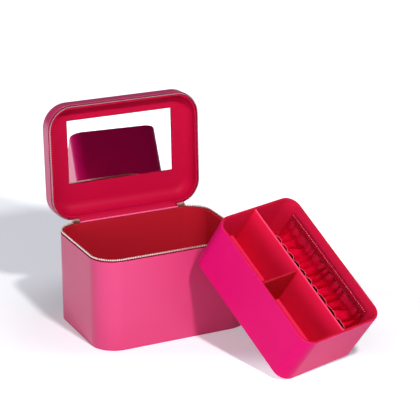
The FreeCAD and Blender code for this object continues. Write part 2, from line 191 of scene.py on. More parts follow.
# Camera and light
camera_place = Vector((-0.90035, -2.00768, 0.93495))
camera_yaw = math.radians(26.317)
camera_pitch = math.radians(19.213)
camera_lens = 138.54
key_place = Vector((0.07, -1.29, 1.33))
key_aim = Vector((0.05, -0.05, 0.12))
key_width = 0.15
key_watts = 24.5
side_place = Vector((-1.80, -0.95, 0.55))
side_width = 1.2
side_watts = 18.0
fill_level = 0.10
fill_front = 0.72
fill_left = 0.55
floor_glow = 0.44
floor_close_glow = 0.6
floor_open_glow = 0.55
floor_front = (-0.443, -0.896, 0)
floor_right = (1.0, 0.6, 0)
floor_far_reach = (0.5, 1.1)
floor_front_reach = (0.11, 0.20)
floor_right_reach = (0.32, 0.44)
floor_shade_reach = 0.16
floor_tint = (0.96, 0.98, 1.10)
floor_half = 12.0
fill_turn = 1.6
fill_colour = (0.97, 0.985, 1.0, 1)


# Shader maths

class Wire:
    """An output of a shader node that takes part in Python sums."""

    def __init__(self, finish, socket):
        self.finish = finish
        self.socket = socket

    def math(self, operation, first, second):
        return self.finish.add("ShaderNodeMath", {"operation": operation}, {0: first, 1: second})

    def __add__(self, other):
        return self.math("ADD", self, other)

    def __radd__(self, other):
        return self.math("ADD", other, self)

    def __rsub__(self, other):
        return self.math("SUBTRACT", other, self)

    def __mul__(self, other):
        return self.math("MULTIPLY", self, other)

    def __rmul__(self, other):
        return self.math("MULTIPLY", other, self)

    def __pow__(self, other):
        return self.math("POWER", self, other)


class Shading:
    """The nodes of a material or of the world."""

    def __init__(self, owner):
        owner.use_nodes = True
        self.tree = owner.node_tree

    def add(self, kind, settings=None, sockets=None, output=0):
        node = self.tree.nodes.new(kind)
        for name, value in (settings or {}).items():
            setattr(node, name, value)
        for name, value in (sockets or {}).items():
            self.join(value, node.inputs[name])
        return Wire(self, node.outputs[output])

    def join(self, value, socket):
        if isinstance(value, Wire):
            self.tree.links.new(value.socket, socket)
        else:
            socket.default_value = value

    def to_eye(self):
        """1 for what the camera sees, also in reflections and through glass, and 0 for other light."""
        straight = self.add("ShaderNodeLightPath", output="Is Camera Ray")
        glossy = self.add("ShaderNodeLightPath", output="Is Glossy Ray")
        through = self.add("ShaderNodeLightPath", output="Is Transmission Ray")
        return straight.math("MAXIMUM", straight + through, glossy)


class Finish(Shading):
    """A material: its Principled shader and the nodes that feed it."""

    def __init__(self, name, **constants):
        self.material = bpy.data.materials.new(name)
        super().__init__(self.material)
        self.shader = self.tree.nodes["Principled BSDF"]
        for socket, value in constants.items():
            self.shader.inputs[socket.replace("_", " ")].default_value = value

    def place(self):
        return self.add("ShaderNodeTexCoord", output="Object")

    def cloth_place(self):
        return self.add("ShaderNodeTexCoord", output="UV")

    def noise(self, place, scale, detail=3.0):
        sockets = {"Vector": place, "Scale": scale, "Detail": detail, "Roughness": 0.55}
        return self.add("ShaderNodeTexNoise", None, sockets)

    def cells(self, place, scale):
        return self.add("ShaderNodeTexVoronoi", None, {"Vector": place, "Scale": scale})

    def ramp(self, value, low, high):
        """0 below a low value, 1 above a high one, and smooth between them."""
        sockets = {"Value": value, "From Min": low, "From Max": high}
        return self.add("ShaderNodeMapRange", {"interpolation_type": "SMOOTHSTEP"}, sockets)

    def mixed(self, factor, first, second):
        return self.add("ShaderNodeMix", {"data_type": "RGBA"}, {0: factor, 6: first, 7: second}, 2)

    def dressed(self, colour, roughness=None, height=None, strength=0.3, depth=0.0001):
        """Feeds the shader a colour and, where given, a roughness and a height for its bump."""
        self.join(colour, self.shader.inputs["Base Color"])
        if roughness is not None:
            self.join(roughness, self.shader.inputs["Roughness"])
        if height is not None:
            sockets = {"Strength": strength, "Distance": depth, "Height": height}
            bump = self.add("ShaderNodeBump", None, sockets)
            self.join(bump, self.shader.inputs["Normal"])
        return self.material


def leatherette(name, shine, tint, deep, bright):
    """Smooth leatherette with a fine pebbled grain and a soft, tinted shine."""
    finish = Finish(name, Specular_IOR_Level=shine, Specular_Tint=tint)
    place = finish.place()
    grain = finish.cells(place, 1100.0)
    pores = finish.noise(place, 2600.0)
    swell = finish.noise(place, 22.0, 2.0)
    drift = finish.noise(place, 9.0, 2.0)
    roughness = 0.26 + pores * 0.10
    height = grain * 0.5 + pores * 0.25 + swell * 3.0
    return finish.dressed(finish.mixed(drift, deep, bright), roughness, height, 0.3, 0.0001)


def lining_cloth(name, deep, bright):
    """Fine red lining, almost matt."""
    finish = Finish(name, Specular_IOR_Level=0.07)
    place = finish.place()
    fibre = finish.noise(place, 3200.0, 4.0)
    slub = finish.noise(place, 420.0, 3.0)
    drift = finish.noise(place, 14.0, 2.0)
    colour = finish.mixed(drift * 0.6 + slub * 0.4, deep, bright)
    roughness = 0.40 + fibre * 0.16
    return finish.dressed(colour, roughness, fibre + slub * 0.8, 0.4, 0.00008)


def pocket_satin():
    """Red satin with threads along the cloth, coloured darker in the casing and just below it as painted
    shade.
    """
    finish = Finish("pocket_satin", Specular_IOR_Level=0.3)
    place = finish.cloth_place()
    stretched = finish.add("ShaderNodeMapping", None, {"Vector": place, "Scale": (1.0, 18.0, 1.0)})
    threads = finish.noise(stretched, 90.0, 3.0)
    creases = finish.noise(place, 14.0, 3.0)
    down = finish.add("ShaderNodeSeparateXYZ", None, {0: place}, "Y")
    # Painted shade: the casing band takes a darker red that fades out below it.
    below_painted_shade = finish.ramp(down, 0.19, 0.55)
    casing_painted_shade = finish.mixed(creases, (0.40, 0.002, 0.024, 1), (0.50, 0.004, 0.036, 1))
    hanging = finish.mixed(creases, (0.74, 0.001, 0.036, 1), (0.86, 0.002, 0.052, 1))
    colour = finish.mixed(below_painted_shade, casing_painted_shade, hanging)
    roughness = 0.30 + threads * 0.16
    return finish.dressed(colour, roughness, threads * 0.3 + creases, 0.3, 0.0004)


def elastic_knit(name, deep, bright):
    """Ribbed elastic."""
    finish = Finish(name, Specular_IOR_Level=0.2)
    place = finish.cloth_place()
    ribs = finish.add("ShaderNodeTexWave", {"bands_direction": "Y"}, {"Vector": place, "Scale": 4.5})
    fluff = finish.noise(place, 160.0)
    colour = finish.mixed(ribs, deep, bright)
    return finish.dressed(colour, 0.5 + fluff * 0.2, ribs + fluff * 0.4, 0.5, 0.0003)


def sewing_thread():
    """Light red thread with its twist."""
    finish = Finish("sewing_thread")
    place = finish.place()
    twist = finish.noise(place, 2400.0, 2.0)
    colour = finish.mixed(twist, (0.90, 0.10, 0.16, 1), (0.98, 0.24, 0.30, 1))
    return finish.dressed(colour, 0.35 + twist * 0.2, twist, 0.4, 0.0001)


def zip_weave():
    """Dark red woven tape."""
    finish = Finish("zip_tape", Specular_IOR_Level=0.15)
    place = finish.place()
    ribs = finish.add("ShaderNodeTexWave", {"bands_direction": "Z"}, {"Vector": place, "Scale": 420.0})
    fluff = finish.noise(place, 1800.0)
    colour = finish.mixed(ribs, (0.16, 0.003, 0.014, 1), (0.27, 0.005, 0.026, 1))
    return finish.dressed(colour, 0.7 + fluff * 0.2, ribs + fluff * 0.5, 0.5, 0.0001)


def zip_metal(name, deep, bright):
    """Plated metal with faint rub marks."""
    finish = Finish(name, Metallic=1.0)
    place = finish.place()
    rubs = finish.noise(place, 700.0, 4.0)
    tone = finish.noise(place, 120.0)
    return finish.dressed(finish.mixed(tone, deep, bright), 0.24 + rubs * 0.2, rubs, 0.15, 0.00005)


def silvered_glass():
    """Mirror with a trace of unevenness."""
    finish = Finish("mirror_glass", Metallic=1.0)
    place = finish.place()
    haze = finish.noise(place, 40.0, 3.0)
    colour = finish.mixed(haze, (0.74, 0.78, 0.76, 1), (0.78, 0.82, 0.80, 1))
    return finish.dressed(colour, 0.004 + haze * 0.012)


def grey_board():
    """Raw board with flecks of pulp."""
    finish = Finish("case_board")
    place = finish.place()
    pulp = finish.noise(place, 900.0, 5.0)
    flecks = finish.cells(place, 260.0)
    colour = finish.mixed(pulp * 0.7 + flecks * 0.3, (0.36, 0.28, 0.20, 1), (0.55, 0.46, 0.35, 1))
    return finish.dressed(colour, 0.8 + pulp * 0.15, pulp + flecks, 0.4, 0.0001)


def thin_padding():
    """Off-white foam sheet."""
    finish = Finish("padding")
    place = finish.place()
    pores = finish.cells(place, 1400.0)
    colour = finish.mixed(pores, (0.66, 0.63, 0.58, 1), (0.84, 0.82, 0.78, 1))
    return finish.dressed(colour, 0.9 + pores * 0.08, pores, 0.5, 0.0001)


rose_shine = (1.0, 0.76, 1.0, 1)
violet_shine = (0.9, 0.45, 1.0, 1)
pink = leatherette("pink_leatherette", 0.55, rose_shine, (0.58, 0.034, 0.142, 1), (0.64, 0.042, 0.167, 1))
# Painted highlight: the piping's pink is lighter than the cover's, for the highlight along the roll.
piping_painted_highlight = leatherette("piping_leatherette", 1.0, rose_shine, (0.86, 0.09, 0.26, 1), (0.92, 0.12, 0.30, 1))
# Partly painted light: the tray's leatherette is brighter and more magenta than the case's pink; its extra
# brightness stands in for the light on the tray.
tray_pink_painted_light = leatherette(
    "tray_leatherette", 0.05, violet_shine, (0.70, 0.003, 0.136, 1), (0.76, 0.006, 0.170, 1),
)
red = lining_cloth("red_lining", (0.44, 0.009, 0.020, 1), (0.50, 0.012, 0.027, 1))
lid_red = lining_cloth("lid_lining", (0.45, 0.002, 0.032, 1), (0.52, 0.003, 0.044, 1))
# Painted light: a brighter copy of the lining for the tray, for the light that fills its compartments.
tray_red_painted_light = lining_cloth("tray_lining", (0.68, 0.010, 0.062, 1), (0.75, 0.014, 0.076, 1))
# Painted light: a still brighter copy of the lining for the long divider's faces, for light on them.
divider_red_painted_light = lining_cloth("divider_lining", (0.90, 0.012, 0.074, 1), (0.96, 0.016, 0.090, 1))
# Painted highlight: a lighter red for the divider's top, for the light along it.
divider_top_painted_highlight = lining_cloth("divider_top_painted_highlight", (0.86, 0.05, 0.13, 1), (0.92, 0.08, 0.18, 1))
satin = pocket_satin()
elastic = elastic_knit("elastic", (0.45, 0.003, 0.025, 1), (0.62, 0.006, 0.045, 1))
# Painted shade: near-black elastic for the loops' inner face, for the shade inside their openings.
elastic_painted_shade = elastic_knit("elastic_painted_shade", (0.020, 0.002, 0.004, 1), (0.035, 0.003, 0.006, 1))
# Painted highlight: a lighter elastic for the band's rim, for the light along its edge.
elastic_rim_painted_highlight = elastic_knit("elastic_rim_painted_highlight", (0.80, 0.04, 0.08, 1), (0.88, 0.08, 0.12, 1))
thread = sewing_thread()
tape = zip_weave()
gold = zip_metal("zip_gold", (0.90, 0.76, 0.66, 1), (0.97, 0.87, 0.79, 1))
# Painted shade: the lid's teeth take a darker copy of the plating, for the shade on them.
lid_gold_painted_shade = zip_metal("lid_zip_gold", (0.64, 0.42, 0.42, 1), (0.76, 0.54, 0.53, 1))
mirror_glass = silvered_glass()
board = grey_board()
foam = thin_padding()


# Making pieces

def edges_of(geometry):
    return [part for part in geometry if isinstance(part, bmesh.types.BMEdge)]


def verts_of(geometry):
    return [part for part in geometry if isinstance(part, bmesh.types.BMVert)]


def profile_edges(bm, points, start, closed):
    """Edges of a profile of (inset, height, round) points, drawn where an outline starts."""
    corners = [bm.verts.new((start.x, start.y + inset, height)) for inset, height, _ in points]
    bm.faces.new(corners)
    last = bm.edges.get((corners[0], corners[-1]))
    for corner, (_, _, radius) in zip(corners, points):
        if radius:
            bmesh.ops.bevel(
                bm, geom=[corner], offset=radius, offset_type="OFFSET", segments=4 if radius < 0.005 else 12,
                profile=0.5, affect="VERTICES", material=-1,
            )
    bmesh.ops.delete(bm, geom=list(bm.faces), context="FACES_ONLY")
    if not closed:
        bm.edges.remove(last)
    return list(bm.edges)


def pulled(bm, edges, run):
    """Carries edges straight along a run and gives the new end edges."""
    made = bmesh.ops.extrude_edge_only(bm, edges=edges)["geom"]
    bmesh.ops.translate(bm, vec=run, verts=verts_of(made))
    return edges_of(made)


def turned(bm, edges, centre, angle, steps):
    """Carries edges round an upright axis and gives the new end edges."""
    verts = list({vert for edge in edges for vert in edge.verts})
    made = bmesh.ops.spin(
        bm, geom=verts + edges, cent=centre, axis=(0, 0, 1), dvec=(0, 0, 0), angle=angle, steps=steps,
        use_merge=False, use_normal_flip=False, use_duplicate=False,
    )
    return edges_of(made["geom_last"])


def open_edges(bm):
    return [edge for edge in bm.edges if edge.is_boundary]


def carried_round(points, width, depth, radius, ends):
    """A profile of (inset, height, round) points carried once round a rounded rectangle."""
    bm = bmesh.new()
    x = width / 2 - radius
    y = depth / 2 - radius
    edges = profile_edges(bm, points, Vector((-x, -depth / 2)), ends == "joined")
    runs = ((2 * x, 0), (0, 2 * y), (-2 * x, 0), (0, -2 * y))
    centres = ((x, -y), (x, y), (-x, y), (-x, -y))
    for run, centre in zip(runs, centres):
        edges = pulled(bm, edges, (*run, 0))
        edges = turned(bm, edges, (*centre, 0), math.pi / 2, 14)
    bmesh.ops.remove_doubles(bm, verts=bm.verts, dist=1e-6)
    if ends == "filled":
        bmesh.ops.holes_fill(bm, edges=open_edges(bm), sides=0)
    bmesh.ops.recalc_face_normals(bm, faces=bm.faces)
    return bm


def rounded_block(low, high, radius):
    """A block between two corners with rounded edges."""
    bm = bmesh.new()
    made = bmesh.ops.create_cube(bm, size=1.0)
    size = high - low
    bmesh.ops.scale(bm, vec=size, verts=made["verts"])
    bmesh.ops.translate(bm, vec=(low + high) / 2, verts=made["verts"])
    bmesh.ops.bevel(
        bm, geom=list(bm.edges), offset=radius, offset_type="OFFSET", segments=3,
        profile=0.5, affect="EDGES", material=-1,
    )
    return bm


def finished(bm, name, material, place=Matrix(), sharp_deg=38.0):
    """An object of a bmesh, with its place in its mesh."""
    mesh = bpy.data.meshes.new(name)
    bm.to_mesh(mesh)
    bm.free()
    mesh.transform(place)
    mesh.shade_smooth()
    mesh.set_sharp_from_angle(angle=math.radians(sharp_deg))
    mesh.materials.append(material)
    piece = bpy.data.objects.new(name, mesh)
    bpy.context.scene.collection.objects.link(piece)
    weighted = piece.modifiers.new("even_shading", "WEIGHTED_NORMAL")
    weighted.keep_sharp = True
    return piece


def softened(name, width, segments=2):
    """Rounds the edges of a CAD node that stays in sight."""
    weld = nodes[name].modifiers.new("joined", "WELD")
    weld.merge_threshold = 1e-6
    bevel = nodes[name].modifiers.new("edges", "BEVEL")
    bevel.width = width
    bevel.segments = segments
    bevel.limit_method = "ANGLE"
    bevel.angle_limit = math.radians(40)


def copies(model, places):
    """One bmesh of a small shape, put at each of the places."""
    mesh = bpy.data.meshes.new("copied")
    model.to_mesh(mesh)
    model.free()
    bm = bmesh.new()
    for place in places:
        count = len(bm.verts)
        bm.from_mesh(mesh)
        bm.verts.ensure_lookup_table()
        bmesh.ops.transform(bm, matrix=place, verts=bm.verts[count:])
    bpy.data.meshes.remove(mesh)
    return bm


def stitch():
    """One stitch of thread along X."""
    bm = bmesh.new()
    made = bmesh.ops.create_uvsphere(bm, u_segments=6, v_segments=5, radius=1.0)
    bmesh.ops.rotate(bm, verts=made["verts"], matrix=Matrix.Rotation(math.pi / 2, 3, "Y"))
    bmesh.ops.scale(bm, vec=(stitch_length / 2, stitch_radius, stitch_radius), verts=made["verts"])
    return bm


def facing(point, along):
    """A place at a point with its X along a direction."""
    turn = along.to_track_quat("X", "Z").to_matrix().to_4x4()
    return Matrix.Translation(point) @ turn


def eased(value, low, high):
    """0 below a low value, 1 above a high one, and smooth between them."""
    share = min(1.0, max(0.0, (value - low) / (high - low)))
    return share * share * (3 - 2 * share)


def fitted(piece, body, slot, *replaced):
    """Puts a piece on its body in place of CAD nodes."""
    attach(piece, body)
    if replaced:
        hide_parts(*replaced)
    return piece


def case_ring(points, ends="joined"):
    return carried_round(points, case_width, case_depth, corner_radius, ends)


def tray_ring(points, ends="joined"):
    bm = carried_round(points, tray_length, tray_width, tray_corner_radius, ends)
    bmesh.ops.translate(bm, vec=(tray_length / 2, tray_width / 2, 0), verts=bm.verts)
    return bm


def tray_place():
    """The leaning tray's own frame, read from its long divider and its bottom."""
    normals = [polygon.normal.copy() for polygon in nodes["tray_divider_long"].data.polygons]
    along = min(normals, key=lambda normal: normal.y)
    rise = max(normals, key=lambda normal: normal.z)
    side = rise.cross(along)
    turn = Matrix((along, side, rise)).transposed()
    points = [turn.transposed() @ vert.co for vert in nodes["tray_bottom_cover"].data.vertices]
    corner = Vector((min(p.x for p in points), min(p.y for p in points), min(p.z for p in points)))
    return Matrix.Translation(turn @ corner) @ turn.to_4x4()


leaned = tray_place()


# Base

def base_shell():
    points = (
        (0, cover_wall, edge_round),
        (0, base_height, fold_round),
        (cover_wall, base_height, fold_round),
        (cover_wall, cover_wall, 0),
    )
    piece = finished(case_ring(points), "base_shell", pink)
    return fitted(piece, "case", "pink_leatherette", "base_cover")


def base_bottom_panel():
    points = (
        (cap_inset, 0, 0),
        (0, 0, edge_round),
        (0, cover_wall, edge_round / 2),
        (cap_inset, cover_wall, 0),
    )
    piece = finished(case_ring(points, "filled"), "base_bottom_panel", pink)
    return fitted(piece, "case", "pink_leatherette", "base_bottom_cover")


def base_inner():
    high = base_height + lining_turn
    points = (
        (lining_inset, bottom_level, 0),
        (lining_inset, base_height, 0),
        (board_inset, base_height, 0),
        (board_inset, high, lining_round),
        (inner_inset, high, lining_round),
        (inner_inset, bottom_level, 0),
    )
    piece = finished(case_ring(points), "base_inner", red)
    return fitted(piece, "case", "red_lining", "base_lining")


def base_pad():
    inset = inner_inset + floor_pad_gap
    points = (
        (cap_inset, bottom_level, 0),
        (inset, bottom_level, 0),
        (inset, floor_level, pad_round),
        (cap_inset, floor_level, 0),
    )
    piece = finished(case_ring(points, "filled"), "base_pad", red)
    return fitted(piece, "case", "red_lining", "base_floor")


# Lid, drawn shut and opened

def lid_shell():
    points = (
        (cap_inset, lid_top, 0),
        (0, lid_top, lid_edge_round),
        (0, lid_rim, fold_round),
        (cover_wall, lid_rim, fold_round),
        (cover_wall, lid_top - cover_wall, 0),
        (cap_inset, lid_top - cover_wall, 0),
    )
    piece = finished(case_ring(points, "filled"), "lid_shell", pink, opened)
    return fitted(piece, "lid", "pink_leatherette", "lid_cover")


def lid_inner():
    """Lining that runs from the rim down the walls, through a soft cove and on to the mirror's window."""
    low = lid_rim - lining_turn
    flat_inset = inner_inset + lid_cove + lining_turn
    points = (
        (lining_inset, lid_board_low, 0),
        (lining_inset, lid_rim, 0),
        (board_inset, lid_rim, 0),
        (board_inset, low, lining_round),
        (inner_inset, low, lining_round),
        (inner_inset, lid_panel_low, lid_cove),
        (flat_inset, lid_panel_low, 0),
    )
    bm = case_ring(points, "open")
    outline = [edge for edge in open_edges(bm) if edge.verts[0].co.z < lid_board_low - lining_turn]
    panel = bmesh.ops.holes_fill(bm, edges=outline, sides=0)["faces"]
    sides = (
        (-mirror_side, 0, 1, 0),
        (mirror_side, 0, 1, 0),
        (0, -mirror_front, 0, 1),
        (0, mirror_back, 0, 1),
    )
    for x, y, across, along in sides:
        geometry = panel + list({part for face in panel for part in (*face.verts, *face.edges)})
        cut = bmesh.ops.bisect_plane(
            bm, geom=geometry, dist=1e-6, plane_co=(x, y, lid_panel_low), plane_no=(across, along, 0),
        )
        panel = [part for part in cut["geom"] if isinstance(part, bmesh.types.BMFace)]
    middle = Vector((0, (mirror_back - mirror_front) / 2, lid_panel_low))
    window = min(panel, key=lambda face: (face.calc_center_median() - middle).length)
    frame_edges = list(window.edges)
    bmesh.ops.delete(bm, geom=[window], context="FACES_ONLY")
    pulled(bm, frame_edges, (0, 0, lid_board_low - lid_panel_low))
    bmesh.ops.recalc_face_normals(bm, faces=bm.faces)
    piece = finished(bm, "lid_inner", lid_red, opened)
    return fitted(piece, "lid", "red_lining", "lid_lining", "lid_panel")


# Zip teeth along the rim

def zip_runs():
    """Straight runs and corners of the zip, from its left end at the back round to its right end."""
    x = case_width / 2 - corner_radius
    y = case_depth / 2 - corner_radius
    back = case_depth / 2 - tape_inset
    side = case_width / 2 - tape_inset
    return (
        ("straight", Vector((-hinge_half, back, 0)), Vector((-x, back, 0))),
        ("corner", Vector((-x, y, 0)), math.pi / 2),
        ("straight", Vector((-side, y, 0)), Vector((-side, -y, 0))),
        ("corner", Vector((-x, -y, 0)), math.pi),
        ("straight", Vector((-x, -back, 0)), Vector((x, -back, 0))),
        ("corner", Vector((x, -y, 0)), math.pi * 1.5),
        ("straight", Vector((side, -y, 0)), Vector((side, y, 0))),
        ("corner", Vector((x, y, 0)), 0.0),
        ("straight", Vector((x, back, 0)), Vector((hinge_half, back, 0))),
    )


def run_length(run):
    if run[0] == "straight":
        return (run[2] - run[1]).length
    return (corner_radius - tape_inset) * math.pi / 2


def zip_place(distance):
    """Place on the zip at a distance from its left end, with X along it."""
    for run in zip_runs():
        if distance <= run_length(run):
            break
        distance -= run_length(run)
    if run[0] == "straight":
        way = (run[2] - run[1]).normalized()
        return Matrix.Translation(run[1] + way * distance) @ Matrix.Rotation(math.atan2(way.y, way.x), 4, "Z")
    radius = corner_radius - tape_inset
    angle = run[2] + distance / radius
    point = run[1] + Vector((math.cos(angle), math.sin(angle), 0)) * radius
    return Matrix.Translation(point) @ Matrix.Rotation(angle + math.pi / 2, 4, "Z")


def tooth():
    """A tooth that narrows from its foot on the tape to its head."""
    bm = bmesh.new()
    made = bmesh.ops.create_cube(bm, size=1.0)
    bmesh.ops.scale(bm, vec=(tooth_length, tooth_foot, tooth_height), verts=made["verts"])
    bmesh.ops.translate(bm, vec=(0, 0, tooth_height / 2), verts=made["verts"])
    head = [vert for vert in bm.verts if vert.co.z > tooth_height / 2]
    bmesh.ops.scale(bm, vec=(1, tooth_head / tooth_foot, 1), verts=head)
    bmesh.ops.bevel(
        bm, geom=list(bm.edges), offset=tooth_round, offset_type="OFFSET", segments=1,
        profile=0.5, affect="EDGES", material=-1,
    )
    return bm


def zip_row(name, material, start, shift, turn, body, place, node):
    """One row of teeth, from a start at the left end of the zip to the same at the right end."""
    total = sum(run_length(run) for run in zip_runs())
    count = int((total - 2 * start) / tooth_pitch)
    first = (total - count * tooth_pitch) / 2 + shift
    lowered = Matrix.Translation((0, 0, -tooth_height - row_gap / 2))
    raised = Matrix.Translation((0, 0, hinge.z)) @ turn @ lowered
    seats = [zip_place(first + number * tooth_pitch) @ raised for number in range(count)]
    piece = finished(copies(tooth(), seats), name, material, place, 30.0)
    return fitted(piece, body, "zip_brass", node)


def zip_rows():
    level = Matrix()
    turned_over = Matrix.Rotation(math.pi, 4, "X")
    half = tooth_pitch / 2
    zip_row("base_teeth", gold, base_row_start, 0, level, "case", Matrix(), "base_zip_teeth")
    # The lid's row takes the darker plating as painted shade.
    zip_row("lid_teeth", lid_gold_painted_shade, lid_row_start, half, turned_over, "lid", opened, "lid_zip_teeth")


# Hinge strip and handle

def hinge_strip():
    """One strip of leatherette that runs up from the base and turns back into the lid."""
    inner = hinge.y - cover_wall
    high = hinge.z + cover_wall
    back = hinge.y + zip_half_band
    points = (
        (inner, base_height, 0),
        (inner, high, hinge_bend),
        (back, high, 0),
        (back, hinge.z, 0),
        (hinge.y, hinge.z, 0),
        (hinge.y, base_height, 0),
    )
    bm = bmesh.new()
    edges = profile_edges(bm, points, Vector((-strip_half, 0)), True)
    for _ in range(strip_steps):
        edges = pulled(bm, edges, (2 * strip_half / strip_steps, 0, 0))
    bmesh.ops.holes_fill(bm, edges=open_edges(bm), sides=0)
    bmesh.ops.recalc_face_normals(bm, faces=bm.faces)
    piece = finished(bm, "hinge_strip", pink)
    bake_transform(piece)
    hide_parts("hinge_base_leaf", "hinge_lid_leaf")
    return piece


def hinge_piping():
    """Rolled edge of the cover along the foot of the hinge strip, coloured a lighter pink as a painted
    highlight.
    """
    bm = bmesh.new()
    middle = Vector((-strip_half, hinge.y - cover_wall - piping_radius / 2, base_height + piping_rise))
    made = bmesh.ops.create_circle(
        bm, cap_ends=False, segments=14, radius=piping_radius,
        matrix=Matrix.Translation(middle) @ Matrix.Rotation(math.pi / 2, 4, "Y"),
    )
    edges = list({edge for vert in made["verts"] for edge in vert.link_edges})
    pulled(bm, edges, (2 * strip_half, 0, 0))
    bmesh.ops.holes_fill(bm, edges=open_edges(bm), sides=0)
    bmesh.ops.recalc_face_normals(bm, faces=bm.faces)
    piece = finished(bm, "hinge_piping", piping_painted_highlight)
    return fitted(piece, "case", "pink_leatherette")


def hinge_lining():
    """Band of lining from the piping over the fold to the lid's lining."""
    foot = Vector((0, hinge.y - cover_wall - piping_radius / 2, base_height + piping_rise))
    head = opened @ Vector((0, case_depth / 2 - inner_inset + lining_turn, lid_rim - lining_turn / 2))
    bm = bmesh.new()
    made = bmesh.ops.create_grid(bm, x_segments=40, y_segments=12, size=0.5)
    for vert in made["verts"]:
        share = vert.co.y + 0.5
        point = foot.lerp(head, share)
        sag = hinge_band_sag * math.sin(math.pi * share)
        vert.co = (vert.co.x * 2 * strip_half, point.y - sag, point.z + sag)
    piece = finished(bm, "hinge_lining", lid_red)
    thick = piece.modifiers.new("cloth", "SOLIDIFY")
    thick.thickness = band_wall
    thick.offset = 0
    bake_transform(piece)
    return piece


def handle_lift(x):
    """How far the handle stands off the lid at a place along it."""
    knee = handle_length / 2 - handle_pad
    if abs(x) >= knee:
        return 0.0
    return handle_rise * math.cos(math.pi / 2 * x / knee) ** handle_curve


def handle():
    half = handle_length / 2
    low = Vector((-half, -handle_width / 2, lid_top))
    high = Vector((half, handle_width / 2, lid_top + handle_wall))
    bm = rounded_block(low, high, handle_round)
    for step in range(1, handle_steps):
        x = -half + step * handle_length / handle_steps
        geometry = list(bm.verts) + list(bm.edges) + list(bm.faces)
        bmesh.ops.bisect_plane(bm, geom=geometry, dist=1e-6, plane_co=(x, 0, 0), plane_no=(1, 0, 0))
    for vert in bm.verts:
        vert.co.z += handle_lift(vert.co.x)
    piece = finished(bm, "handle", pink, opened)
    fitted(piece, "lid", "pink_leatherette", "handle_strap")
    seams = []
    count = int((handle_length - 2 * handle_stitch_inset) / stitch_pitch)
    for side in (-1, 1):
        for number in range(count + 1):
            x = -half + handle_stitch_inset + number * stitch_pitch
            y = side * (handle_width / 2 - handle_stitch_inset)
            slope = (handle_lift(x + 0.0005) - handle_lift(x - 0.0005)) / 0.001
            point = Vector((x, y, lid_top + handle_wall + handle_lift(x)))
            seams.append(facing(point, Vector((1, 0, slope))))
    piece = finished(copies(stitch(), seams), "handle_stitches", thread, opened, 80.0)
    return fitted(piece, "lid", "pink_leatherette")


# Tray

def tray_shell():
    fold = tray_height - tray_cover_wall
    points = (
        (cap_inset, 0, 0),
        (0, 0, tray_edge_round),
        (0, tray_height, tray_rim_round),
        (tray_fold_inset, tray_height, 0),
        (tray_fold_inset, fold, 0),
        (tray_cover_wall, fold, 0),
        (tray_cover_wall, tray_cover_wall, 0),
        (cap_inset, tray_cover_wall, 0),
    )
    # Painted light: the tray's cover takes the brightened pink.
    piece = finished(tray_ring(points, "filled"), "tray_shell", tray_pink_painted_light, leaned)
    return fitted(piece, "tray", "pink_leatherette", "tray_cover", "tray_bottom_cover")


def tray_inner():
    fold = tray_height - tray_cover_wall
    points = (
        (tray_lining_inset, tray_bottom_level, 0),
        (tray_lining_inset, fold, 0),
        (tray_fold_inset, fold, 0),
        (tray_fold_inset, tray_height, 0),
        (tray_inner_inset, tray_height, tray_rim_round),
        (tray_inner_inset, tray_bottom_level, 0),
    )
    bm = tray_ring(points)
    # Painted light: the faces inside take the brightened tray lining, while the rim's top takes the case
    # lining's red.
    for face in bm.faces:
        face.material_index = int(face.calc_center_median().z > fold)
    piece = finished(bm, "tray_inner", tray_red_painted_light, leaned)
    piece.data.materials.append(red)
    return fitted(piece, "tray", "red_lining", "tray_lining")


def divider_wrap():
    """The long divider's lining, folded over its top, which is coloured lighter as a painted highlight."""
    middle = tray_width / 2
    high = tray_height - divider_drop
    bm = bmesh.new()
    points = (
        (middle - divider_half, tray_floor_level, 0),
        (middle - divider_half, high - divider_taper, 0),
        (middle - divider_top_half, high, divider_round),
        (middle + divider_top_half, high, divider_round),
        (middle + divider_half, high - divider_taper, 0),
        (middle + divider_half, tray_floor_level, 0),
    )
    edges = profile_edges(bm, points, Vector((tray_inner_inset, 0)), True)
    pulled(bm, edges, (tray_length - 2 * tray_inner_inset, 0, 0))
    bmesh.ops.holes_fill(bm, edges=open_edges(bm), sides=0)
    bmesh.ops.recalc_face_normals(bm, faces=bm.faces)
    # Painted highlight: the faces along the rounded top take the lighter red.
    for face in bm.faces:
        face.material_index = int(face.calc_center_median().z > high - divider_round)
    # Painted light: the divider's faces take the brightened lining.
    piece = finished(bm, "divider_wrap", divider_red_painted_light, leaned)
    piece.data.materials.append(divider_top_painted_highlight)
    return fitted(piece, "tray", "red_lining", "tray_divider_skins", "tray_divider_long")


def cross_board():
    x = tray_length / 2
    low = Vector((x - cross_wall / 2, tray_inner_inset, tray_floor_level))
    high = Vector((x + cross_wall / 2, tray_width / 2 - divider_half, tray_height - cross_drop))
    piece = finished(rounded_block(low, high, cross_round), "cross_board", red, leaned)
    return fitted(piece, "tray", "red_lining", "tray_divider_cross")


# Elastic band with loops

def loop_rise(x):
    """How far the band stands off the divider at a place along it."""
    left = loop_start
    for pitch in loop_pitches:
        half = pitch / 2 - loop_tack / 2
        away = abs(x - left - pitch / 2)
        if away < half:
            return loop_bulge * (1 - (away / half) ** loop_square) ** loop_crown
        left += pitch
    return 0.0


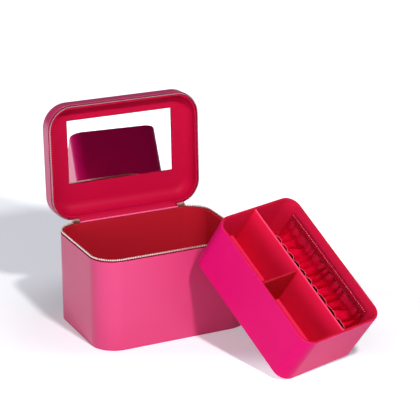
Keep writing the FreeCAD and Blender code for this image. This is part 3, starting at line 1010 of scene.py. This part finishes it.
def loop_band():
    length = sum(loop_pitches)
    foot = tray_width / 2 + divider_half + loop_gap + loop_wall / 2
    top = tray_height - loop_top_drop
    bm = bmesh.new()
    uv = bm.loops.layers.uv.new("cloth")
    made = bmesh.ops.create_grid(bm, x_segments=360, y_segments=10, size=0.5)
    flat = {}
    for vert in made["verts"]:
        s = vert.co.x + 0.5
        t = vert.co.y + 0.5
        flat[vert] = (s * length * 100, t * loop_height * 100)
        x = loop_start + s * length
        slack = loop_slack * math.sin(math.pi * t) * noise.noise(Vector((s * 14, t, 2.3)))
        drawn = 1 - loop_top_draw * eased(t, 0.35, 1.0)
        vert.co = (x, foot + loop_rise(x) * drawn + slack, top - loop_height + t * loop_height)
    # Painted shade: all but the first two loops take the near-black material on their inner face.
    for face in bm.faces:
        face.material_index = int(face.calc_center_median().x < loop_start + 2 * loop_pitches[0])
        for loop in face.loops:
            loop[uv].uv = flat[loop.vert]
    piece = finished(bm, "loop_band", elastic_painted_shade, leaned, 60.0)
    for cloth in (elastic, elastic, elastic_rim_painted_highlight, elastic_rim_painted_highlight):
        piece.data.materials.append(cloth)
    thick = piece.modifiers.new("elastic", "SOLIDIFY")
    thick.thickness = loop_wall
    thick.offset = 0
    thick.material_offset = 1
    # The rim takes the lighter elastic as a painted highlight.
    thick.material_offset_rim = 3
    return fitted(piece, "tray", "red_lining", "tray_brush_loops")


# Pocket: cloth drawn up in a casing and hanging in folds below it

def fold_wave(turn):
    """Rounded crowns with sharp valleys, from 0 to 1."""
    return abs(math.sin(math.pi * turn)) ** 0.9


def pocket_stand(s, t, casing):
    """How far the pocket's cloth stands off the wall."""
    below = max(0.0, (t - casing) / (1 - casing))
    above = max(0.0, 1 - t / casing)
    ruffle = fold_wave(s * pocket_ruffles + 1.1 * noise.noise(Vector((s * 15, 0, 1.7))))
    grip = grip_depth * math.exp(-((t - casing) / grip_reach) ** 2)
    if below == 0:
        return casing_stand - grip + ruffle_depth * ruffle * (0.25 + 0.5 * above)
    wander = 1.2 * noise.noise(Vector((s * 6.0, 3.1, 0)))
    sway = 1.9 * below * below + 0.5 * noise.noise(Vector((s * 5.5, below * 1.8, 8.2)))
    fold = fold_wave(s * pocket_folds + wander + sway)
    own = 0.4 + 0.6 * eased(noise.noise(Vector((s * 11, 6.4, 0))), -0.3, 0.2)
    deep = own * (1.0 - 0.7 * eased(below, 0.42, 0.85)) * eased(below, 0.0, 0.04)
    ends = min(1.0, 16 * s, 16 * (1 - s))
    swell = 0.35 * eased(below, 0.02, 0.2) + 0.65 * eased(below, 0.26, 0.72)
    stand = casing_stand + ends * pocket_belly * swell * (1 - eased(below, 0.8, 1.0)) - grip
    stand += ruffle_depth * ruffle * math.exp(-5 * below)
    stand += crease_depth * eased(below, 0.1, 0.4) * noise.noise(Vector((s * 26, below * 6, 4.4)))
    stand -= (stand - valley_near) * deep * (1 - fold)
    return max(stand, pocket_near)


def pocket_point(s, t):
    """Point of the pocket's cloth, in the tray's frame, at shares of its length and its drop."""
    top = tray_height - casing_drop
    drop = top - hem_height
    casing = casing_height / drop
    wave = top_wave * max(0.0, 1 - t / casing) * noise.noise(Vector((s * 18, 0.5, 9.1)))
    length = tray_length - 2 * pocket_end_inset
    wall = tray_width - tray_inner_inset
    return Vector((pocket_end_inset + s * length, wall - pocket_stand(s, t, casing), top - t * drop + wave))


def pocket_cloth():
    bm = bmesh.new()
    uv = bm.loops.layers.uv.new("cloth")
    made = bmesh.ops.create_grid(bm, x_segments=380, y_segments=124, size=0.5)
    flat = {}
    for vert in made["verts"]:
        flat[vert] = (vert.co.x + 0.5, 0.5 - vert.co.y)
        vert.co = pocket_point(*flat[vert])
    for face in bm.faces:
        for loop in face.loops:
            loop[uv].uv = flat[loop.vert]
    piece = finished(bm, "pocket_cloth", satin, leaned, 80.0)
    thick = piece.modifiers.new("cloth", "SOLIDIFY")
    thick.thickness = pocket_wall
    thick.offset = 0
    fitted(piece, "tray", "pocket_satin", "tray_pocket_casing", "tray_pocket_gathers")
    return piece


def pocket_stitches():
    drop = tray_height - casing_drop - hem_height
    length = tray_length - 2 * pocket_end_inset
    count = int(length / stitch_pitch)
    seats = []
    for t in (top_seam, casing_height / drop):
        for number in range(count):
            s = (number + 0.5) / count
            point = pocket_point(s, t) - Vector((0, stitch_radius, 0))
            ahead = pocket_point(s + 0.004, t) - pocket_point(s - 0.004, t)
            seats.append(facing(point, ahead))
    piece = finished(copies(stitch(), seats), "pocket_stitches", thread, leaned, 80.0)
    return fitted(piece, "tray", "pocket_satin")


# Floor, light and camera

def studio_floor():
    """White floor that keeps the shadow and glows to the eye, most in the open, its glow dimmed near things
    by ambient occlusion as painted contact shade.
    """
    bm = bmesh.new()
    bmesh.ops.create_grid(bm, x_segments=1, y_segments=1, size=floor_half)
    mesh = bpy.data.meshes.new("floor")
    bm.to_mesh(mesh)
    bm.free()
    finish = Finish("floor_white", Roughness=0.9, Specular_IOR_Level=0.0, Emission_Strength=1.0)
    place = finish.place()
    paper = finish.noise(place, 60.0)
    finish.dressed(finish.mixed(paper, (0.82, 0.82, 0.82, 1), (0.84, 0.84, 0.84, 1)))
    away = finish.add("ShaderNodeVectorMath", {"operation": "LENGTH"}, {0: place}, "Value")
    dot = {"operation": "DOT_PRODUCT"}
    ahead = finish.add("ShaderNodeVectorMath", dot, {0: place, 1: floor_front}, "Value")
    aside = finish.add("ShaderNodeVectorMath", dot, {0: place, 1: floor_right}, "Value")
    far = finish.ramp(away, *floor_far_reach)
    front = finish.ramp(ahead, *floor_front_reach)
    right = finish.ramp(aside, *floor_right_reach)
    clear = far.math("MAXIMUM", far.math("MAXIMUM", far, front), right)
    # Painted shade: ambient occlusion dims the glow near the case and tray.
    painted_contact_shade = finish.add("ShaderNodeAmbientOcclusion", None, {"Distance": floor_shade_reach}, "AO")
    painted_contact_shade = painted_contact_shade.math("MAXIMUM", painted_contact_shade * painted_contact_shade, floor_close_glow)
    glow = finish.to_eye() * (floor_glow + clear * floor_open_glow) * painted_contact_shade
    channels = {number: glow * share for number, share in enumerate(floor_tint)}
    tint = finish.add("ShaderNodeCombineColor", None, channels)
    finish.join(tint, finish.shader.inputs["Emission Color"])
    mesh.materials.append(finish.material)
    floor = bpy.data.objects.new("floor", mesh)
    bpy.context.scene.collection.objects.link(floor)


def studio_world():
    """Soft fill from the front and the left."""
    world = bpy.data.worlds.new("studio")
    bpy.context.scene.world = world
    sky = Shading(world)
    way = sky.add("ShaderNodeTexCoord", output="Generated")
    across = sky.add("ShaderNodeSeparateXYZ", None, {0: way}, "X")
    depth = sky.add("ShaderNodeSeparateXYZ", None, {0: way}, "Y")
    left = across.math("MAXIMUM", across * -1.0, 0.0)
    front = depth.math("MAXIMUM", depth * -1.0, 0.0)
    left = left * (0.5 - depth * 0.5) ** fill_turn
    up = sky.add("ShaderNodeSeparateXYZ", None, {0: way}, "Z")
    low = 1.0 - up.math("MAXIMUM", up, 0.0)
    fill = (front * fill_front + left * fill_left) * low * low + fill_level
    background = sky.tree.nodes["Background"]
    background.inputs["Color"].default_value = fill_colour
    sky.join(fill, background.inputs["Strength"])


def soft_lamp(name, place, width, watts):
    """A round lamp aimed at the case."""
    lamp = bpy.data.lights.new(name, "AREA")
    lamp.shape = "DISK"
    lamp.size = width
    lamp.energy = watts
    light = bpy.data.objects.new(name, lamp)
    light.location = place
    light.rotation_euler = (key_aim - place).to_track_quat("-Z", "Y").to_euler()
    bpy.context.scene.collection.objects.link(light)
    return light


def lamps():
    soft_lamp("key", key_place, key_width, key_watts)
    side = soft_lamp("side", side_place, side_width, side_watts)
    side.visible_glossy = False


def camera():
    data = bpy.data.cameras.new("camera")
    data.lens = camera_lens
    data.sensor_width = 36.0
    data.clip_end = 60.0
    eye = bpy.data.objects.new("camera", data)
    eye.location = camera_place
    eye.rotation_euler = (math.pi / 2 - camera_pitch, 0, -camera_yaw)
    bpy.context.scene.collection.objects.link(eye)
    bpy.context.scene.camera = eye


def paint(material, *names):
    """Gives CAD nodes a material."""
    for name in names:
        slots = nodes[name].data.materials
        slots.clear()
        slots.append(material)


paint(foam, "base_padding", "lid_padding")
paint(board, "base_board", "base_bottom_board", "lid_board", "lid_top_board")
paint(board, "tray_board", "tray_corner_boards", "tray_bottom")
# Painted light: the tray's floor and side boards take the brightened tray lining.
paint(tray_red_painted_light, "tray_floor", "tray_side_board_far", "tray_side_board_near")
paint(mirror_glass, "mirror")
paint(tape, "base_zip_tape", "lid_zip_tape")
paint(gold, "zip_slider_left", "zip_slider_right", "zip_pull_left", "zip_pull_right", "handle_rivets")

for name, width in (("zip_slider_left", 0.0003), ("zip_slider_right", 0.0003), ("handle_rivets", 0.0004)):
    softened(name, width)
for name in ("zip_pull_left", "zip_pull_right"):
    softened(name, 0.0002)
for name in ("tray_side_board_far", "tray_side_board_near"):
    softened(name, 0.0011, 3)

base_shell()
base_bottom_panel()
base_inner()
base_pad()
lid_shell()
lid_inner()
zip_rows()
hinge_strip()
hinge_piping()
hinge_lining()
handle()
tray_shell()
tray_inner()
divider_wrap()
cross_board()
loop_band()
pocket_cloth()
pocket_stitches()
studio_floor()
studio_world()
lamps()
camera()

bpy.context.scene.view_settings.view_transform = "Standard"
